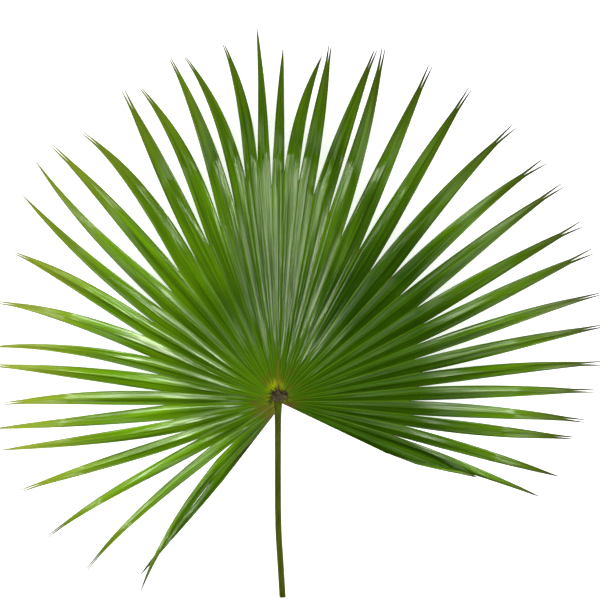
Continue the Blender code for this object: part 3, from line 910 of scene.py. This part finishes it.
def mark_hub(n, r, green):
    """The yellow heart, the brown rib above it, and the brown and olive starts of the lowest folds."""
    far = n.plus(r.along, n.times(r.streak, 0.014))
    centre = (HUB[0] * MM + HEART_CENTRE[0], HUB[1] * MM + HEART_CENTRE[1], HUB_HEIGHT * MM)
    off_heart = n.plus(n.distance(n.object_place(), centre), n.times(r.streak, 0.008))
    green = n.mix(n.ramp(off_heart, 0.006, 0.018, 0.85, 0.0), green, HEART)
    green = n.mix(n.ramp(far, 0.012, 0.030, 0.35, 0.0), green, HEART)
    off_rib = n.times(n.math("ABSOLUTE", n.math("SUBTRACT", r.fold, RIB_FOLD)), r.along)
    off_rib = n.plus(off_rib, n.times(r.along, 0.6))
    rib = n.ramp(off_rib, 0.05, 0.09, 0.9, 0.0)
    rib = n.times(rib, n.ramp(r.along, 0.5 * RIB_LENGTH, RIB_LENGTH, 1.0, 0.0))
    green = n.mix(n.times(rib, n.ramp(r.streak, 0.3, 0.7, 1.0, 0.5)), green, RIB)
    right = n.times(n.ramp(r.fold, 5.0, 13.0, 0.9, 0.0), n.ramp(far, 0.026, 0.038, 1.0, 0.0))
    green = n.mix(right, green, PAPER_BROWN)
    left = n.ramp(r.fold, LAST_FOLD - 20, LAST_FOLD - 6, 0.0, 0.8)
    return n.mix(n.times(left, n.ramp(far, 0.026, 0.046, 1.0, 0.0)), green, OLIVE_BASE)


def mark_last_segments(n, r, green):
    """The dried left margin, and the deeper green of the last segment."""
    margin = n.ramp(r.fold, LAST_FOLD - 2.0, LAST_FOLD - 0.8, 0.0, 0.85)
    green = n.mix(n.times(margin, n.ramp(r.along, 0.07, 0.12, 1.0, 0.2)), green, DARK_MARGIN)
    last = n.ramp(r.fold, LAST_FOLD - 4.5, LAST_FOLD - 1.9, 0.0, 0.7)
    return n.mix(n.times(last, n.ramp(r.along, 0.09, 0.15)), green, DEEP)


def mark_rust(n, r, green):
    """Rusty specks round the hub, and rust at the base of some of the splits."""
    specks = fold_noise(n, r.fold, r.along, (0.9, 70.0), 5.3, 2.0)
    specks = n.times(n.ramp(specks, 0.56, 0.64, 0.0, 0.8), n.ramp(r.along, 0.024, 0.050, 1.0, 0.0))
    green = n.mix(specks, green, RUST)
    chance = n.tree.nodes.new("ShaderNodeTexWhiteNoise")
    chance.noise_dimensions = "1D"
    n.feed(chance.inputs["W"], n.math("ROUND", n.times(r.fold, 0.5)))
    off_split = n.math("ABSOLUTE", n.plus(r.free, 0.015))
    split = n.times(n.ramp(off_split, 0.005, 0.02, 1.0, 0.0), n.ramp(r.across, 0.85, 0.98))
    rusty = n.times(split, n.ramp(chance.outputs["Value"], 0.6, 0.95))
    return n.mix(n.times(rusty, n.ramp(r.streak, 0.3, 0.6, 0.2, 1.0)), green, RUST)


def dry_tips(n, r, green):
    """Dry tips: straw on the upper left, dark brown on the right and at the lower left."""
    tip = n.ramp(n.plus(r.free, n.times(r.fine, 0.03)), 0.90, 0.97)
    pale = n.times(n.ramp(r.bearing, 75.0, 125.0), n.rest(r.low_left))
    return n.mix(n.times(tip, 0.9), green, n.mix(pale, DARK_TIP, DRY_TIP))


def add_sheen(n, r, upper):
    """The waxy skin: its shine comes in threads that run out along the folds, and some parts have less."""
    shine = n.ramp(n.plus(r.bearing, n.times(n.math("SUBTRACT", r.cloud, 0.5), 40.0)), *DULL_BEARINGS)
    matt = n.times(n.ramp(r.bearing, *MATT_FROM), n.ramp(r.bearing, *MATT_TO, 1.0, 0.0))
    matt = n.times(matt, n.ramp(r.free, -0.2, 0.1, 0.75, 0.0))
    shine = n.math("MAXIMUM", n.times(shine, n.rest(matt)), n.ramp(r.free, 0.0, 0.2, 0.0, 0.8))
    gloss = n.plus(n.times(r.cloud, 0.6), n.times(r.streak, 0.4))
    rough = n.plus(n.ramp(gloss, 0.3, 0.7, *LEAF_ROUGHNESS), n.times(n.rest(shine), DULL_ROUGHNESS))
    wide = fold_noise(n, r.fold, r.along, (4.0, 16.0), 0.5, 1.0)
    narrow = fold_noise(n, r.fold, r.along, (9.0, 12.0), 2.5, 1.0)
    far = n.ramp(r.along, 0.10, 0.26)
    thread = n.plus(n.times(far, narrow), n.times(n.rest(far), wide))
    level = n.plus(DULL_LEVEL, n.times(shine, SHINE_LEVEL))
    level = n.times(level, n.ramp(thread, 0.3, 0.68, 0.2, 1.7))
    n.set("Roughness", rough if upper else n.plus(rough, LOWER_ROUGHNESS))
    n.set("Specular IOR Level", level if upper else n.times(level, LOWER_SHARE))
    n.set("Specular Tint", SHEEN)


def add_relief(n, r):
    """Raised veins and an uneven skin, as fine as the pleats near the hub."""
    veins = n.math("SINE", n.times(r.fold, math.pi * VEIN_COUNT))
    height = n.plus(n.times(veins, 0.03), n.times(r.fine, 0.2))
    height = n.times(n.plus(height, r.streak), n.times(r.along, 5.0))
    n.set("Normal", n.bump(height, LEAF_RELIEF))


def leaf_material(name, upper):
    """Green blade tissue: veins along each pleat, a pale midrib, drying tips and a yellow heart."""
    n = Nodes(name)
    r = read_sheet(n)
    midrib = n.ramp(n.times(r.across, r.along), *VEIN_WIDTH, 1.0, 0.0)
    green = draw_lines(n, r, midrib, age_and_painted_glow(n, r, green_with_painted_left_light(n, r)))
    for mark in (mark_hub, mark_last_segments, mark_rust, dry_tips):
        green = mark(n, r, green)
    if not upper:
        green = n.mix(0.6, green, LOWER)
        green = n.mix(n.times(midrib, 0.7), green, LOWER_VEIN)
    n.set("Base Color", green)
    add_sheen(n, r, upper)
    add_relief(n, r)
    return n.material


def stalk_material():
    """Olive skin with fine streaks along the stalk and paler clouds."""
    n = Nodes("stalk_olive_skin")
    place = n.object_place()
    parts = n.tree.nodes.new("ShaderNodeSeparateXYZ")
    n.feed(parts.inputs[0], place)
    x, y, z = (n.times(part, scale) for part, scale in zip(parts.outputs, (900.0, 18.0, 900.0)))
    streaks = n.noise(n.vector(x, y, z), 1.0, 3.0)
    cloud = n.noise(place, 35.0, 3.0)
    color = n.mix(n.ramp(streaks, 0.3, 0.72), STALK_DARK, STALK_OLIVE)
    n.set("Base Color", n.mix(n.ramp(cloud, 0.4, 0.8, 0.0, 0.4), color, STALK_PALE))
    n.set("Roughness", n.ramp(cloud, 0.3, 0.7, *STALK_ROUGHNESS))
    n.set("Specular IOR Level", STALK_LEVEL)
    n.set("Specular Tint", SHEEN)
    n.set("Normal", n.bump(streaks, STALK_RELIEF))
    return n.material


def pith_material():
    """The stalk's pale cut end, spotted with the ends of its fibres."""
    n = Nodes("stalk_cut_pith")
    spots = n.noise(n.object_place(), 1600.0, 2.0)
    n.set("Base Color", n.mix(n.ramp(spots, 0.4, 0.65), PITH, PITH_SPOT))
    n.set("Roughness", PAPER_ROUGHNESS)
    n.set("Normal", n.bump(spots, PITH_RELIEF))
    return n.material


def hastula_material():
    """Dry brown paper in darker and lighter patches, with dark fibres."""
    n = Nodes("hastula_paper")
    fibres = n.noise(n.object_place(), 420.0, 4.0, 0.65)
    patches = n.noise(n.object_place(), 150.0, 2.0)
    color = n.mix(n.ramp(patches, 0.35, 0.65), FLAP_BROWN, FLAP_TAN)
    n.set("Base Color", n.mix(n.ramp(fibres, 0.45, 0.7, 0.0, 0.8), color, FLAP_DARK))
    n.set("Roughness", PAPER_ROUGHNESS)
    n.set("Normal", n.bump(fibres, FLAP_RELIEF))
    return n.material


def make_floor():
    """A matt white floor with a faint glow of its own, so that it stays white round the leaf."""
    bpy.ops.mesh.primitive_plane_add(size=FLOOR_SIZE, location=(0.0, 0.0, -FLOOR_DROP))
    floor = bpy.context.object
    floor.name = "floor"
    n = Nodes("floor_white")
    n.set("Base Color", FLOOR_COLOR)
    n.set("Roughness", 0.9)
    n.set("Specular IOR Level", 0.1)
    n.set("Emission Color", WHITE)
    n.set("Emission Strength", FLOOR_GLOW)
    floor.data.materials.append(n.material)


def make_softbox(name, azimuth, elevation, distance, size, radiance):
    """A soft panel that faces the leaf, placed by its direction from it."""
    around, up = math.radians(azimuth), math.radians(elevation)
    flat = distance * math.cos(up)
    data = bpy.data.lights.new(name, "AREA")
    data.shape = "RECTANGLE"
    data.size, data.size_y = size
    data.energy = radiance * math.pi * size[0] * size[1]
    made = bpy.data.objects.new(name, data)
    made.location = (flat * math.cos(around), flat * math.sin(around), distance * math.sin(up))
    made.rotation_euler = (Vector(SOFTBOX_TARGET) - made.location).to_track_quat("-Z", "Y").to_euler()
    bpy.context.scene.collection.objects.link(made)


def make_lights():
    for row in SOFTBOXES:
        make_softbox(*row)
    make_world()


def make_world():
    """A room that is pale near the horizon and dim overhead, so the softboxes give the leaf its sheen."""
    world = bpy.data.worlds.new("studio")
    world.use_nodes = True
    tree = world.node_tree
    place = tree.nodes.new("ShaderNodeTexCoord")
    parts = tree.nodes.new("ShaderNodeSeparateXYZ")
    fade = tree.nodes.new("ShaderNodeMapRange")
    fade.interpolation_type = "SMOOTHSTEP"
    names = ("From Min", "From Max", "To Min", "To Max")
    for name, value in zip(names, (*HORIZON_FADE, HORIZON_STRENGTH, SKY_STRENGTH)):
        fade.inputs[name].default_value = value
    tree.links.new(place.outputs["Generated"], parts.inputs[0])
    tree.links.new(parts.outputs["Z"], fade.inputs["Value"])
    tree.links.new(fade.outputs["Result"], tree.nodes["Background"].inputs["Strength"])
    tree.nodes["Background"].inputs["Color"].default_value = WHITE
    bpy.context.scene.world = world


def make_camera():
    """Straight down on the middle of the photograph, from far off."""
    data = bpy.data.cameras.new("camera")
    data.sensor_width = SENSOR
    data.lens = SENSOR * CAMERA_HEIGHT / (PHOTO_WIDTH * MM)
    data.clip_end = 50.0
    camera = bpy.data.objects.new("camera", data)
    camera.location = ((HUB[0] + PHOTO_MIDDLE[0]) * MM, (HUB[1] + PHOTO_MIDDLE[1]) * MM, CAMERA_HEIGHT)
    bpy.context.scene.collection.objects.link(camera)
    bpy.context.scene.camera = camera


def main():
    make_camera()
    make_floor()
    make_lights()
    bpy.context.scene.view_settings.view_transform = "Standard"
    make_blade((leaf_material("leaf_upper", True), leaf_material("leaf_lower", False)))
    make_stalk((stalk_material(), pith_material()))
    make_hastula((hastula_material(),))
    bpy.context.view_layer.update()


main()
